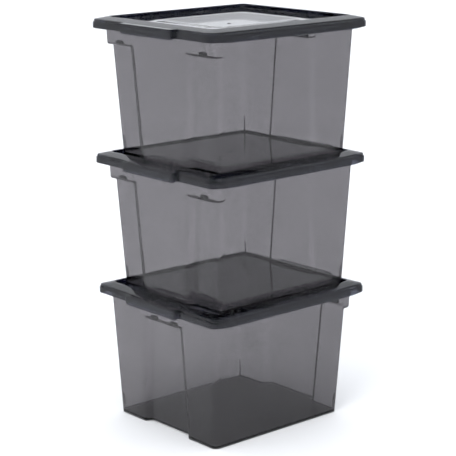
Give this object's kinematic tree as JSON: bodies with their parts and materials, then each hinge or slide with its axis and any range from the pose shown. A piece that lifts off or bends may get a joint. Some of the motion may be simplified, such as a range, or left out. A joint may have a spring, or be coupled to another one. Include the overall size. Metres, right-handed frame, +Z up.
{
  "type": "stack of lidded storage bins",
  "caption": "Stack of tapered, smoke-tinted clear storage bins with recessed ends, each closed by a raised-rim lid that seats the foot of the bin above.",
  "frame": {"origin": "centre of the stack's footprint, on the surface it stands on", "axes": "+X along the long sides of the bins, +Y along the short sides, +Z up"},
  "size_m": [0.4164, 0.3628, 0.806],
  "materials": {
    "smoke_tub": "clear smoke-grey tint, polished",
    "smoke_lid": "clear smoke-grey tint, polished"
  },
  "bodies": {
    "bottom_tub": {"bottom_tub": "smoke_tub"},
    "bottom_lid": {"bottom_lid": "smoke_lid"},
    "middle_tub": {"middle_tub": "smoke_tub"},
    "middle_lid": {"middle_lid": "smoke_lid"},
    "top_tub": {"top_tub": "smoke_tub"},
    "top_lid": {"top_lid": "smoke_lid"}
  },
  "joints": [
    {"name": "bottom_lid_lift", "type": "slide", "parent": "bottom_tub", "child": "bottom_lid", "axis": [0, 0, 1], "range_m": [0, 0.1]},
    {"name": "middle_tub_lift", "type": "slide", "parent": "bottom_lid", "child": "middle_tub", "axis": [0, 0, 1], "range_m": [0, 0.1]},
    {"name": "middle_lid_lift", "type": "slide", "parent": "middle_tub", "child": "middle_lid", "axis": [0, 0, 1], "range_m": [0, 0.1]},
    {"name": "top_tub_lift", "type": "slide", "parent": "middle_lid", "child": "top_tub", "axis": [0, 0, 1], "range_m": [0, 0.1]},
    {"name": "top_lid_lift", "type": "slide", "parent": "top_tub", "child": "top_lid", "axis": [0, 0, 1], "range_m": [0, 0.1]}
  ]
}
